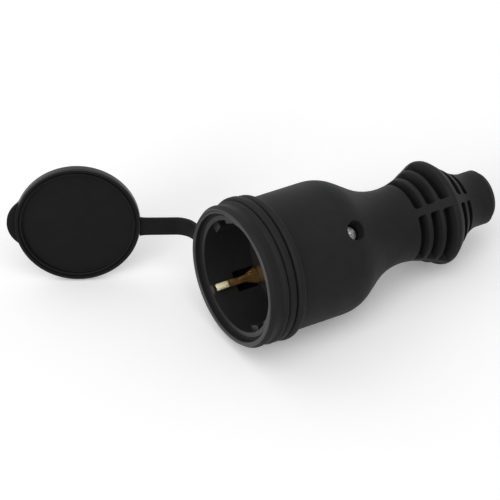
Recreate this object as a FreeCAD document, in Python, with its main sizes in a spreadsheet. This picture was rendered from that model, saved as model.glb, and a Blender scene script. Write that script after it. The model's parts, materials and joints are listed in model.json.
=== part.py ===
"""Inline socket connector: a black rubber coupler with an earthed two-pole recess.

Every piece is built about the connector's own axis, X, with the lip of the mouth at the
origin and the tail at +X.  Its local Y runs through the two pins and its local Z through
the earth clips.  A shared placement then lays the connector on its shoulder and its bulb.
"""
import FreeCAD, Part
import Sketcher
import os

SIZES = {
    # Mouth and cup, to the common earthed two-pole pattern
    "mouth_radius": 18.7,
    "recess_depth": 17.5,
    "face_setback": 2.0,
    "cup_wall": 1.5,
    "cup_floor": 2.5,
    "pin_spacing": 19.0,
    "pin_length": 19.0,
    "pin_hole_radius": 2.8,
    "guide_angle": 14.0,
    "guide_width": 4.0,
    "guide_height": 1.8,
    "guide_length": 15.3,
    # Rubber body, front
    "fit_gap": 0.1,
    "body_wall": 2.15,
    "cap_seat_step": 1.0,
    "lip_wall": 1.3,
    "lip_depth": 1.6,
    "collar_rise": 1.25,
    "collar_dip": 0.2,
    "collar_dip_x": 4.7,
    "collar_length": 7.0,
    "channel_wall": 1.3,
    "channel_width": 3.4,
    "flange_rise": 1.7,
    "flange_width": 2.8,
    # Rubber body, shoulder to tail
    "barrel_run": 16.7,
    "shoulder_run": 18.6,
    "neck_radius": 10.2,
    "bulb_rise_run": 21.1,
    "bulb_radius": 17.84,
    "bulb_fall_run": 10.3,
    "tail_radius": 9.87,
    "tail_run": 10.9,
    "tail_end_radius": 8.15,
    "cable_bore": 4.6,
    "gland_start": 8.4,
    "gland_run": 5.0,
    "lip_round": 0.5,
    "collar_round": 0.8,
    "flange_round": 0.7,
    "shoulder_round": 13.9,
    "neck_round": 25.3,
    "bulb_round": 1.2,
    "tail_round": 16.0,
    "tail_end_round": 1.3,
    # Ribs moulded into the bulb
    "rib_count": 4,
    "rib_angle": 11.5,
    "rib_groove_depth": 3.0,
    "rib_groove_width": 1.9,
    "rib_groove_flare": 0.12,
    "front_groove_gap": 2.2,
    "front_groove_pitch": 4.6,
    "rear_groove_gap": 4.9,
    "rear_groove_pitch": 4.2,
    # Contact carrier and contacts
    "carrier_wall": 0.8,
    "carrier_end": 1.6,
    "contact_radius": 3.0,
    "contact_bore": 2.45,
    "contact_inset": 0.3,
    "chamber_gap": 0.3,
    "pin_tip_gap": 0.8,
    "contact_web": 1.0,
    "slit_width": 0.8,
    "slit_length": 9.0,
    "wire_bore": 1.5,
    "wire_depth": 5.2,
    "wire_hole_radius": 1.9,
    "set_screw_radius": 1.25,
    "set_screw_length": 2.0,
    "set_screw_setback": 2.6,
    "set_screw_gap": 0.05,
    "set_screw_access": 0.45,
    # Earth strip
    "strip_thickness": 1.0,
    "strip_width": 5.0,
    "strip_gap": 0.2,
    "clip_wall_gap": 0.4,
    "clip_straight": 9.9,
    "clip_bow_run": 4.5,
    "clip_bow": 1.7,
    "clip_tip_run": 4.5,
    "clip_tip_rise": 1.2,
    "clip_tip_width": 2.3,
    "clip_neck_run": 11.3,
    "clip_flare_run": 3.2,
    "clip_window_width": 6.8,
    "clip_window_run": 8.4,
    # Screws
    "screw_run": 14.35,
    "screw_seat_wall": 1.4,
    "screw_hole_radius": 3.3,
    "screw_head_radius": 2.75,
    "screw_head_height": 1.8,
    "screw_radius": 1.75,
    "screw_length": 8.6,
    "screw_gap": 0.2,
    "bush_wall": 0.8,
    "bush_length": 7.3,
    "bush_inset": 0.3,
    "face_screw_y": 5.5,
    "face_screw_z": 8.5,
    "face_screw_head_radius": 2.5,
    "face_screw_head_height": 1.3,
    "face_screw_radius": 1.4,
    "face_screw_length": 9.0,
    "head_round": 0.5,
    "drive_width": 0.9,
    "drive_share": 0.62,
    "drive_depth": 0.8,
    # Cord clamp behind the carrier
    "tongue_length": 8.0,
    "tongue_top": 4.9,
    "tongue_thickness": 2.2,
    "tongue_edge": 0.3,
    "tongue_taper": 2.2,
    "clamp_run": 4.4,
    "clamp_width": 4.8,
    "clamp_screw_y": 5.8,
    "clamp_ear": 1.7,
    "clamp_thickness": 1.6,
    "clamp_seat": 0.4,
    "clamp_arch": 3.9,
    "clamp_arch_half_width": 2.7,
    "clamp_boss_radius": 1.5,
    "clamp_screw_radius": 0.9,
    "clamp_screw_length": 4.5,
    "clamp_head_radius": 1.5,
    "clamp_head_height": 1.2,
    "clamp_clearance": 0.3,
    # Tether ring, strap and cap, one rubber moulding
    "ring_gap": 0.3,
    "ring_slack": 1.0,
    "ring_seat_gap": 0.2,
    "ring_wall": 1.65,
    "strap_width": 6.1,
    "strap_shift": 1.85,
    "strap_thickness": 1.6,
    "strap_gap": 0.3,
    "strap_root_gap": 0.1,
    "strap_bend_radius": 7.0,
    "hinge_x": 4.7,
    "hinge_radius": 34.9,
    "open_bend": 57.8,
    "cap_lift": 0.4,
    "cap_clearance": 0.7,
    "cap_rim_wall": 2.4,
    "cap_rim_depth": 1.2,
    "cap_groove_inset": 1.2,
    "cap_groove_width": 0.4,
    "cap_groove_depth": 0.5,
    "cap_round": 0.4,
    "tab_radius": 9.0,
    "tab_reach": 2.6,
    # How the connector lies
    "clock_angle": 42.7,
    "strap_drop_angle": 7.7,
}

# Radii that follow from the sizes above
CUP_RADIUS = "(dim.mouth_radius + dim.cup_wall)"
CUP_BORE = f"({CUP_RADIUS} + dim.fit_gap)"
BARREL_RADIUS = f"({CUP_BORE} + dim.body_wall)"
CAP_SEAT_RADIUS = f"({CUP_BORE} + dim.cap_seat_step)"
LIP_RADIUS = f"({CAP_SEAT_RADIUS} + dim.lip_wall)"
COLLAR_RADIUS = f"({BARREL_RADIUS} + dim.collar_rise)"
CHANNEL_RADIUS = f"({CUP_BORE} + dim.channel_wall)"
FLANGE_RADIUS = f"({BARREL_RADIUS} + dim.flange_rise)"
PIN_Y = "(dim.pin_spacing / 2)"
CHAMBER_RADIUS = "(dim.contact_radius + dim.chamber_gap)"
CARRIER_RADIUS = f"({PIN_Y} + {CHAMBER_RADIUS} + dim.carrier_wall)"
CAVITY_RADIUS = f"({CARRIER_RADIUS} + dim.fit_gap)"
SCREW_SEAT = f"({CAVITY_RADIUS} + dim.screw_seat_wall)"
CLAMP_REACH = "(dim.clamp_screw_y + dim.clamp_ear)"
TONGUE_HALF_WIDTH = "(dim.clamp_screw_y + dim.clamp_boss_radius + dim.tongue_edge)"
CLAMP_CAVITY = f"(sqrt({TONGUE_HALF_WIDTH} ^ 2 + dim.tongue_top ^ 2) + dim.clamp_clearance)"
RING_INNER = f"({CHANNEL_RADIUS} + dim.ring_slack)"
RING_OUTER = f"({RING_INNER} + dim.ring_wall)"
RING_PULL = "(dim.ring_slack - dim.ring_seat_gap)"
CAP_RADIUS = f"({CAP_SEAT_RADIUS} - dim.cap_clearance)"

# Stations along the axis
FLOOR_X = "(dim.face_setback + dim.recess_depth)"
CUP_REAR_X = f"({FLOOR_X} + dim.cup_floor)"
CHANNEL_REAR_X = "(dim.collar_length + dim.channel_width)"
FLANGE_REAR_X = f"({CHANNEL_REAR_X} + dim.flange_width)"
SHOULDER_X = f"({CUP_REAR_X} + dim.barrel_run)"
NECK_X = f"({SHOULDER_X} + dim.shoulder_run)"
BULB_X = f"({NECK_X} + dim.bulb_rise_run)"
TAIL_X = f"({BULB_X} + dim.bulb_fall_run)"
END_X = f"({TAIL_X} + dim.tail_run)"
SOCKET_END_X = f"({FLOOR_X} + dim.pin_length + dim.pin_tip_gap)"
CHAMBER_END_X = f"({SOCKET_END_X} + dim.contact_web + dim.wire_depth)"
CARRIER_REAR_X = f"({CHAMBER_END_X} + dim.carrier_end)"
GLAND_X = f"({CARRIER_REAR_X} + dim.gland_start)"
SET_SCREW_X = f"({CHAMBER_END_X} - dim.set_screw_setback)"
SCREW_X = f"({CUP_REAR_X} + dim.screw_run)"
CLAMP_X = f"({CARRIER_REAR_X} + dim.clamp_run)"
RING_X = "(dim.collar_length + dim.channel_width / 2)"

# The strap's path in its own plane: radially out of the ring, then bent forward to the cap
STRAP_OFFSET = "(dim.hinge_x + dim.cap_lift + dim.strap_thickness / 2)"
BEND_RUN = f"((dim.hinge_x + {STRAP_OFFSET} * cos(dim.open_bend) - {RING_X}) / sin(dim.open_bend))"
BEND_Y = f"(dim.hinge_radius + {STRAP_OFFSET} * sin(dim.open_bend) + {BEND_RUN} * cos(dim.open_bend))"
STRAP_RUN = f"(dim.hinge_radius - {CAP_RADIUS} - dim.strap_gap - {BEND_RUN})"
STRAP_ROOT_Y = f"({RING_OUTER} + {RING_PULL} + dim.strap_root_gap)"

# The lying pose
SHOULDER_FALL = f"atan(({BARREL_RADIUS} - dim.neck_radius) / dim.shoulder_run)"
BARREL_END_X = f"({SHOULDER_X} - dim.shoulder_round * tan({SHOULDER_FALL} / 2))"
REST_RUN = f"({BULB_X} - {BARREL_END_X})"
REST_RISE = f"(dim.bulb_radius - {BARREL_RADIUS} + dim.shoulder_round)"
PITCH = f"(asin(dim.shoulder_round / sqrt({REST_RUN} ^ 2 + {REST_RISE} ^ 2)) - atan({REST_RISE} / {REST_RUN}))"
LYING = f"placement(vector(0; 0; 0); rotation(vector(0; 1; 0); {PITCH}))"
CLOCKED = f"{LYING} * placement(vector(0; 0; 0); rotation(vector(1; 0; 0); dim.clock_angle))"
TETHERED = f"{LYING} * placement(vector(0; 0; 0); rotation(vector(1; 0; 0); -dim.strap_drop_angle))"

OVERCUT = "3"
TOLERANCE = 1e-4

doc = FreeCAD.newDocument("inline_socket_connector")
sheet = doc.addObject("Spreadsheet::Sheet", "dim")
for row, (alias, size) in enumerate(SIZES.items(), start=1):
    sheet.set(f"A{row}", alias)
    sheet.set(f"B{row}", str(size))
    sheet.setAlias(f"B{row}", alias)
doc.recompute()
bodies = []


def value(expression):
    """The number that an expression in the sheet's sizes gives."""
    found = sheet.evalExpression(expression)
    return float(getattr(found, "Value", found))


def at(x, y, z, axis="1; 0; 0", angle="0"):
    """A placement expression: a shift after a turn about one axis."""
    return f"placement(vector({x}; {y}; {z}); rotation(vector({axis}); {angle}))"


def new_body(label):
    body = doc.addObject("PartDesign::Body", label)
    body.Label = label
    bodies.append(body)
    return body


def origin_feature(body, role):
    return next(feature for feature in body.Origin.OriginFeatures if feature.Role == role)


def new_sketch(body, name, role, height="0"):
    """A sketch on one of the body's own planes, raised along that plane's normal."""
    sketch = body.newObject("Sketcher::SketchObject", f"{body.Label}_{name}")
    sketch.AttachmentSupport = [(origin_feature(body, role), "")]
    sketch.MapMode = "FlatFace"
    sketch.setExpression("AttachmentOffset.Base.z", height)
    return sketch


def pin_point(sketch, geometry, point, u, v):
    """Hold a sketch point at two expressions, or on an axis where one of them is zero."""
    for kind, axis, expression in (("DistanceX", -2, u), ("DistanceY", -1, v)):
        if expression == "0":
            sketch.addConstraint(Sketcher.Constraint("PointOnObject", geometry, point, axis))
            continue
        index = sketch.addConstraint(
            Sketcher.Constraint(kind, -1, 1, geometry, point, value(expression)))
        sketch.setExpression(f"Constraints[{index}]", expression)


def add_polygon(sketch, corners):
    """A closed outline of straight sides through corners given as pairs of expressions."""
    first = sketch.GeometryCount
    points = [FreeCAD.Vector(value(u), value(v), 0) for u, v in corners]
    sides = [Part.LineSegment(a, b) for a, b in zip(points, points[1:] + points[:1])]
    sketch.addGeometry(sides, False)
    for index, (u, v) in enumerate(corners):
        following = first + (index + 1) % len(corners)
        sketch.addConstraint(Sketcher.Constraint("Coincident", first + index, 2, following, 1))
        pin_point(sketch, first + index, 1, u, v)


def add_circle(sketch, u, v, radius):
    centre = FreeCAD.Vector(value(u), value(v), 0)
    circle = sketch.addGeometry(
        Part.Circle(centre, FreeCAD.Vector(0, 0, 1), value(radius)), False)
    pin_point(sketch, circle, 3, u, v)
    index = sketch.addConstraint(Sketcher.Constraint("Radius", circle, value(radius)))
    sketch.setExpression(f"Constraints[{index}]", radius)


def rectangle(u_low, u_high, v_low, v_high):
    return [(u_low, v_low), (u_high, v_low), (u_high, v_high), (u_low, v_high)]


def feature_on(body, kind, sketch):
    feature = body.newObject(f"PartDesign::{kind}", f"{sketch.Name}_{kind.lower()}")
    feature.Profile = sketch
    return feature


def removes(body, before):
    """Check that the last cut took material away, and give the volume that is left."""
    doc.recompute()
    left = body.Shape.Volume
    if left > before - TOLERANCE:
        raise RuntimeError(f"{body.Tip.Name} cuts nothing")
    return left


def revolve(body, sketch):
    feature = feature_on(body, "Revolution", sketch)
    feature.ReferenceAxis = (sketch, ["H_Axis"])
    feature.Angle = 360
    doc.recompute()
    return feature


def groove(body, sketch, axis="H_Axis", angle="360"):
    before = body.Shape.Volume
    feature = feature_on(body, "Groove", sketch)
    feature.ReferenceAxis = (sketch, [axis])
    feature.Midplane = True
    feature.setExpression("Angle", angle)
    removes(body, before)
    return feature


def pad(body, sketch, length, reverse=False, symmetric=False):
    feature = feature_on(body, "Pad", sketch)
    feature.SideType = "Symmetric" if symmetric else "One side"
    feature.setExpression("Length", length)
    feature.Reversed = reverse
    doc.recompute()
    return feature


def pocket(body, sketch, length=None, reverse=False):
    """Cut against the sketch's normal, or along it if reversed, right through by default."""
    before = body.Shape.Volume
    feature = feature_on(body, "Pocket", sketch)
    feature.Reversed = reverse
    if length is None:
        feature.Type = "ThroughAll"
    else:
        feature.setExpression("Length", length)
    removes(body, before)
    return feature


def repeat_round(body, feature, count):
    """Copies of a feature, evenly spaced about the body's X axis."""
    pattern = body.newObject("PartDesign::PolarPattern", f"{feature.Name}_round")
    pattern.Originals = [feature]
    pattern.Axis = (origin_feature(body, "X_Axis"), [""])
    pattern.Angle = 360
    pattern.setExpression("Occurrences", count)
    body.Tip = pattern
    doc.recompute()


def round_circles(body, name, radius, places):
    """Round the circular edges about X that stand at the given stations and radii."""
    base = body.Tip
    wanted = [(value(x), value(r)) for x, r in places]
    edges = []
    for number, edge in enumerate(base.Shape.Edges, start=1):
        curve = edge.Curve
        if not isinstance(curve, Part.Circle):
            continue
        if any(abs(curve.Center.x - x) < TOLERANCE and abs(curve.Radius - r) < TOLERANCE
               for x, r in wanted):
            edges.append(f"Edge{number}")
    if len(edges) < len(wanted):
        raise RuntimeError(f"{body.Label}_{name} finds {len(edges)} of {len(wanted)} edges")
    fillet = body.newObject("PartDesign::Fillet", f"{body.Label}_{name}")
    fillet.Base = (base, edges)
    fillet.setExpression("Radius", radius)
    doc.recompute()


def place(body, expression):
    body.setExpression("Placement", expression)


def bulb_surface(x):
    """The bulb's straight flank at a station, ahead of its crest or behind it."""
    front = f"(dim.bulb_radius - ({BULB_X} - {x}) * (dim.bulb_radius - dim.neck_radius) / dim.bulb_rise_run)"
    rear = f"(dim.bulb_radius - ({x} - {BULB_X}) * (dim.bulb_radius - dim.tail_radius) / dim.bulb_fall_run)"
    return f"min({front}; {rear})"


def rib_groove_stations():
    """Three grooves ahead of the bulb's crest and two behind it."""
    front = [f"({BULB_X} - dim.front_groove_gap - {i} * dim.front_groove_pitch)" for i in range(3)]
    rear = [f"({BULB_X} + dim.rear_groove_gap + {i} * dim.rear_groove_pitch)" for i in range(2)]
    return front + rear


def build_rubber_body():
    body = new_body("rubber_body")
    outer = new_sketch(body, "outer", "XZ_Plane")
    add_polygon(outer, [
        ("0", "0"),
        ("0", LIP_RADIUS),
        ("dim.lip_depth", COLLAR_RADIUS),
        ("dim.collar_dip_x", f"{COLLAR_RADIUS} - dim.collar_dip"),
        ("dim.collar_length", COLLAR_RADIUS),
        ("dim.collar_length", CHANNEL_RADIUS),
        (CHANNEL_REAR_X, CHANNEL_RADIUS),
        (CHANNEL_REAR_X, FLANGE_RADIUS),
        (FLANGE_REAR_X, FLANGE_RADIUS),
        (FLANGE_REAR_X, BARREL_RADIUS),
        (SHOULDER_X, BARREL_RADIUS),
        (NECK_X, "dim.neck_radius"),
        (BULB_X, "dim.bulb_radius"),
        (TAIL_X, "dim.tail_radius"),
        (END_X, "dim.tail_end_radius"),
        (END_X, "0"),
    ])
    revolve(body, outer)
    round_circles(body, "shoulder_round", "dim.shoulder_round", [(SHOULDER_X, BARREL_RADIUS)])
    round_circles(body, "neck_round", "dim.neck_round", [(NECK_X, "dim.neck_radius")])
    round_circles(body, "bulb_round", "dim.bulb_round", [(BULB_X, "dim.bulb_radius")])
    round_circles(body, "tail_round", "dim.tail_round", [(TAIL_X, "dim.tail_radius")])
    round_circles(body, "tail_end_round", "dim.tail_end_round", [(END_X, "dim.tail_end_radius")])
    round_circles(body, "collar_round", "dim.collar_round", [("dim.lip_depth", COLLAR_RADIUS)])
    round_circles(body, "flange_round", "dim.flange_round", [
        ("dim.collar_length", COLLAR_RADIUS),
        (CHANNEL_REAR_X, FLANGE_RADIUS),
        (FLANGE_REAR_X, FLANGE_RADIUS),
    ])

    cavity = new_sketch(body, "cavity", "XZ_Plane")
    add_polygon(cavity, [
        ("0", "0"),
        ("0", CAP_SEAT_RADIUS),
        ("dim.face_setback", CAP_SEAT_RADIUS),
        ("dim.face_setback", CUP_BORE),
        (CUP_REAR_X, CUP_BORE),
        (CUP_REAR_X, CAVITY_RADIUS),
        (f"{CARRIER_REAR_X} + dim.fit_gap", CAVITY_RADIUS),
        (f"{CARRIER_REAR_X} + dim.fit_gap", CLAMP_CAVITY),
        (GLAND_X, CLAMP_CAVITY),
        (f"{GLAND_X} + dim.gland_run", "dim.cable_bore"),
        (END_X, "dim.cable_bore"),
        (END_X, "0"),
    ])
    groove(body, cavity)
    round_circles(body, "lip_round", "dim.lip_round", [("0", CAP_SEAT_RADIUS), ("0", LIP_RADIUS)])

    screw_hole = new_sketch(body, "screw_hole", "XZ_Plane")
    screw_hole.setExpression("AttachmentOffset.Base.x", SCREW_X)
    add_polygon(screw_hole, [
        ("0", f"{CAVITY_RADIUS} - {OVERCUT}"),
        ("dim.screw_radius + dim.screw_gap", f"{CAVITY_RADIUS} - {OVERCUT}"),
        ("dim.screw_radius + dim.screw_gap", SCREW_SEAT),
        ("dim.screw_hole_radius", SCREW_SEAT),
        ("dim.screw_hole_radius", f"{BARREL_RADIUS} + {OVERCUT}"),
        ("0", f"{BARREL_RADIUS} + {OVERCUT}"),
    ])
    groove(body, screw_hole, "V_Axis")

    ribbing = new_sketch(body, "ribbing", "XZ_Plane")
    ribbing.setExpression("AttachmentOffset.Rotation.Axis.x", "1")
    ribbing.setExpression("AttachmentOffset.Rotation.Axis.z", "0")
    ribbing.setExpression("AttachmentOffset.Rotation.Angle", "180 / dim.rib_count")
    top = f"dim.bulb_radius + {OVERCUT}"
    for station in rib_groove_stations():
        bottom = f"{bulb_surface(station)} - dim.rib_groove_depth"
        half_top = f"(dim.rib_groove_width / 2 + ({top} - ({bottom})) * dim.rib_groove_flare)"
        add_polygon(ribbing, [
            (f"{station} - dim.rib_groove_width / 2", bottom),
            (f"{station} + dim.rib_groove_width / 2", bottom),
            (f"{station} + {half_top}", top),
            (f"{station} - {half_top}", top),
        ])
    sector = groove(body, ribbing, "H_Axis", "360 / dim.rib_count - dim.rib_angle")
    repeat_round(body, sector, "dim.rib_count")
    place(body, CLOCKED)


def build_socket_insert():
    """The cup that takes the plug: round recess, pin holes, guides and room for the earth strip."""
    body = new_body("socket_insert")
    cup = new_sketch(body, "cup", "XZ_Plane")
    add_polygon(cup, [
        ("dim.face_setback", "dim.mouth_radius"),
        ("dim.face_setback", CUP_RADIUS),
        (CUP_REAR_X, CUP_RADIUS),
        (CUP_REAR_X, "0"),
        (FLOOR_X, "0"),
        (FLOOR_X, "dim.mouth_radius"),
    ])
    revolve(body, cup)

    guides = new_sketch(body, "guides", "YZ_Plane", FLOOR_X)
    inner = "(dim.mouth_radius - dim.guide_height)"
    outer = "(dim.mouth_radius + dim.cup_wall / 2)"
    for angle in ("dim.guide_angle", "(-dim.guide_angle)"):
        add_polygon(guides, [
            (f"{radius} * cos({angle}) - {side} * dim.guide_width / 2 * sin({angle})",
             f"{radius} * sin({angle}) + {side} * dim.guide_width / 2 * cos({angle})")
            for radius, side in ((inner, "1"), (inner, "-1"), (outer, "-1"), (outer, "1"))
        ])
    ribs = pad(body, guides, "dim.guide_length", reverse=True)
    repeat_round(body, ribs, "2")

    pin_holes = new_sketch(body, "pin_holes", "YZ_Plane", CUP_REAR_X)
    add_circle(pin_holes, PIN_Y, "0", "dim.pin_hole_radius")
    add_circle(pin_holes, f"-{PIN_Y}", "0", "dim.pin_hole_radius")
    pocket(body, pin_holes)

    windows = new_sketch(body, "clip_windows", "XY_Plane")
    half_window = "(dim.clip_window_width / 2)"
    add_polygon(windows, rectangle(f"{FLOOR_X} - dim.clip_window_run", FLOOR_X, f"-{half_window}", half_window))
    window = pocket(body, windows, reverse=True)
    repeat_round(body, window, "2")

    half_slot = "(dim.strip_width / 2 + dim.strip_gap)"
    leg_outer = "(dim.mouth_radius - dim.clip_wall_gap + dim.strip_gap)"
    leg_inner = "(dim.mouth_radius - dim.clip_wall_gap - dim.strip_thickness - dim.strip_gap)"
    channel = new_sketch(body, "strip_channel", "YZ_Plane", CUP_REAR_X)
    add_polygon(channel, rectangle(f"-{half_slot}", half_slot, f"-{leg_outer}", leg_outer))
    pocket(body, channel, "dim.strip_thickness")
    slots = new_sketch(body, "clip_slots", "YZ_Plane", CUP_REAR_X)
    add_polygon(slots, rectangle(f"-{half_slot}", half_slot, leg_inner, leg_outer))
    add_polygon(slots, rectangle(f"-{half_slot}", half_slot, f"-{leg_outer}", f"-{leg_inner}"))
    pocket(body, slots)

    screw_holes = new_sketch(body, "screw_holes", "YZ_Plane", CUP_REAR_X)
    add_circle(screw_holes, "dim.face_screw_y", "-dim.face_screw_z", "dim.face_screw_radius + dim.screw_gap")
    through = pocket(body, screw_holes)
    repeat_round(body, through, "2")
    seats = new_sketch(body, "screw_seats", "YZ_Plane", f"{FLOOR_X} + dim.face_screw_head_height")
    add_circle(seats, "dim.face_screw_y", "-dim.face_screw_z", "dim.face_screw_head_radius + dim.screw_gap")
    seat = pocket(body, seats)
    repeat_round(body, seat, "2")
    place(body, CLOCKED)


def build_contact_carrier():
    """The block behind the cup, with a chamber for each contact and a tongue for the cord clamp."""
    body = new_body("contact_carrier")
    block = new_sketch(body, "block", "YZ_Plane", CUP_REAR_X)
    add_circle(block, "0", "0", CARRIER_RADIUS)
    pad(body, block, f"{CARRIER_REAR_X} - {CUP_REAR_X}")

    tongue = new_sketch(body, "tongue", "YZ_Plane", CARRIER_REAR_X)
    narrow = f"({TONGUE_HALF_WIDTH} - dim.tongue_taper)"
    bottom = "-(dim.tongue_top + dim.tongue_thickness)"
    add_polygon(tongue, [
        (f"-{narrow}", bottom),
        (narrow, bottom),
        (TONGUE_HALF_WIDTH, "-dim.tongue_top"),
        (f"-{TONGUE_HALF_WIDTH}", "-dim.tongue_top"),
    ])
    pad(body, tongue, "dim.tongue_length")
    bosses = new_sketch(body, "bosses", "XY_Plane", "-dim.tongue_top")
    pilots = new_sketch(body, "boss_pilots", "XY_Plane", "dim.clamp_seat")
    for side in ("", "-"):
        add_circle(bosses, CLAMP_X, f"{side}dim.clamp_screw_y", "dim.clamp_boss_radius")
        add_circle(pilots, CLAMP_X, f"{side}dim.clamp_screw_y", "dim.clamp_screw_radius + dim.set_screw_gap")
    pad(body, bosses, "dim.tongue_top + dim.clamp_seat")
    pocket(body, pilots, "dim.clamp_screw_length - dim.clamp_thickness + dim.screw_gap")

    chambers = new_sketch(body, "chambers", "YZ_Plane", CUP_REAR_X)
    wire_holes = new_sketch(body, "wire_holes", "YZ_Plane", CARRIER_REAR_X)
    for y in (PIN_Y, "0", f"-{PIN_Y}"):
        add_circle(chambers, y, "0", CHAMBER_RADIUS)
        add_circle(wire_holes, y, "0", "dim.wire_hole_radius")
    pocket(body, chambers, f"{CHAMBER_END_X} - {CUP_REAR_X}", reverse=True)
    pocket(body, wire_holes, "dim.carrier_end + dim.screw_gap")

    access = "dim.set_screw_radius + dim.set_screw_access"
    side_access = new_sketch(body, "side_access", "XZ_Plane", f"-{PIN_Y}")
    add_circle(side_access, SET_SCREW_X, "0", access)
    repeat_round(body, pocket(body, side_access), "2")
    earth_access = new_sketch(body, "earth_access", "XY_Plane")
    add_circle(earth_access, SET_SCREW_X, "0", access)
    pocket(body, earth_access)

    bush_bottom = f"{CARRIER_RADIUS} - dim.bush_inset - dim.bush_length"
    bush_hole = new_sketch(body, "bush_hole", "XY_Plane", bush_bottom)
    add_circle(bush_hole, SCREW_X, "0", "dim.screw_radius + 2 * dim.set_screw_gap + dim.bush_wall")
    pocket(body, bush_hole, reverse=True)
    pilot = new_sketch(body, "screw_pilots", "YZ_Plane", CUP_REAR_X)
    add_circle(pilot, "dim.face_screw_y", "-dim.face_screw_z", "dim.face_screw_radius + dim.set_screw_gap")
    pilots_cut = pocket(body, pilot, "dim.face_screw_length", reverse=True)
    repeat_round(body, pilots_cut, "2")
    place(body, CLOCKED)


def build_turned_contact(label, has_socket, placement):
    """A turned brass terminal: a slit socket for the pin in front, a wire bore and screw behind."""
    body = new_body(label)
    front = f"({CUP_REAR_X} + dim.contact_inset)" if has_socket else CUP_REAR_X
    wire_end = f"({CHAMBER_END_X} - dim.wire_depth)"
    front_face = [(SOCKET_END_X, "0"), (SOCKET_END_X, "dim.contact_bore"), (front, "dim.contact_bore")]
    profile = new_sketch(body, "profile", "XZ_Plane")
    add_polygon(profile, (front_face if has_socket else [(front, "0")]) + [
        (front, "dim.contact_radius"),
        (CHAMBER_END_X, "dim.contact_radius"),
        (CHAMBER_END_X, "dim.wire_bore"),
        (wire_end, "dim.wire_bore"),
        (wire_end, "0"),
    ])
    revolve(body, profile)
    if has_socket:
        slit = new_sketch(body, "slit", "XY_Plane", f"-dim.contact_radius - {OVERCUT}")
        add_polygon(slit, rectangle(f"{front} - {OVERCUT}", f"{front} + dim.slit_length",
                                    "-dim.slit_width / 2", "dim.slit_width / 2"))
        pocket(body, slit, reverse=True)
    thread = new_sketch(body, "thread", "XZ_Plane")
    add_circle(thread, SET_SCREW_X, "0", "dim.set_screw_radius + dim.set_screw_gap")
    pocket(body, thread)
    place(body, placement)


def build_set_screw(label, placement):
    """A headless slotted screw along X, its slot at the outer end."""
    body = new_body(label)
    shank = new_sketch(body, "shank", "YZ_Plane")
    add_circle(shank, "0", "0", "dim.set_screw_radius")
    pad(body, shank, "dim.set_screw_length")
    slot = new_sketch(body, "slot", "YZ_Plane", "dim.set_screw_length")
    reach = f"dim.set_screw_radius + {OVERCUT}"
    add_polygon(slot, rectangle(f"-({reach})", reach, "-dim.slit_width / 4", "dim.slit_width / 4"))
    pocket(body, slot, "dim.slit_width")
    place(body, placement)


def build_terminals():
    """Live, neutral and earth terminals with their screws, each turned to face its access hole."""
    screw_start = "(dim.contact_radius - dim.wire_bore + dim.wire_bore / 5)"
    stations = {
        "live": (PIN_Y, "0"),
        "neutral": (f"-{PIN_Y}", "180"),
        "earth": ("0", "-90"),
    }
    for name, (y, turn) in stations.items():
        seat = f"{CLOCKED} * {at('0', y, '0', angle=turn)}"
        label = "earth_terminal" if name == "earth" else f"{name}_contact"
        build_turned_contact(label, name != "earth", seat)
        screw_seat = f"{seat} * {at(SET_SCREW_X, screw_start, '0', '0; 0; 1', '90')}"
        build_set_screw(f"{name}_terminal_screw", screw_seat)


def build_earth_strip():
    """A bent strip: a web across the back of the cup and a sprung clip up each side of the recess."""
    body = new_body("earth_strip")
    wall = "(dim.mouth_radius - dim.clip_wall_gap)"
    bend_x = f"({CUP_REAR_X} - dim.clip_straight)"
    bow_x = f"({bend_x} - dim.clip_bow_run)"
    tip_x = f"({bow_x} - dim.clip_tip_run)"
    outside = [
        (CUP_REAR_X, wall),
        (bend_x, wall),
        (bow_x, f"{wall} - dim.clip_bow"),
        (tip_x, f"{wall} - dim.clip_bow + dim.clip_tip_rise"),
    ]
    inside = [(x, f"{z} - dim.strip_thickness") for x, z in reversed(outside[1:])]
    web_x = f"{CUP_REAR_X} - dim.strip_thickness"
    half = new_sketch(body, "half", "XZ_Plane")
    add_polygon(half, [(CUP_REAR_X, "0")] + outside + inside + [
        (web_x, f"{wall} - dim.strip_thickness"),
        (web_x, "0"),
    ])
    strip = pad(body, half, "dim.strip_width", symmetric=True)
    mirrored = body.newObject("PartDesign::Mirrored", "earth_strip_halves")
    mirrored.Originals = [strip]
    mirrored.MirrorPlane = (origin_feature(body, "XY_Plane"), [""])
    body.Tip = mirrored
    doc.recompute()

    half_tip = "(dim.clip_tip_width / 2)"
    half_width = "(dim.strip_width / 2)"
    neck_x = f"({tip_x} + dim.clip_neck_run)"
    flare_x = f"({neck_x} + dim.clip_flare_run)"
    ahead_x = f"{tip_x} - {OVERCUT}"
    neck = new_sketch(body, "neck", "XY_Plane", f"-{wall} - {OVERCUT}")
    for side in ("", "-"):
        add_polygon(neck, [
            (ahead_x, f"{side}{half_tip}"),
            (neck_x, f"{side}{half_tip}"),
            (flare_x, f"{side}{half_width}"),
            (flare_x, f"{side}({half_width} + {OVERCUT})"),
            (ahead_x, f"{side}({half_width} + {OVERCUT})"),
        ])
    pocket(body, neck, reverse=True)
    place(body, CLOCKED)


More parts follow.
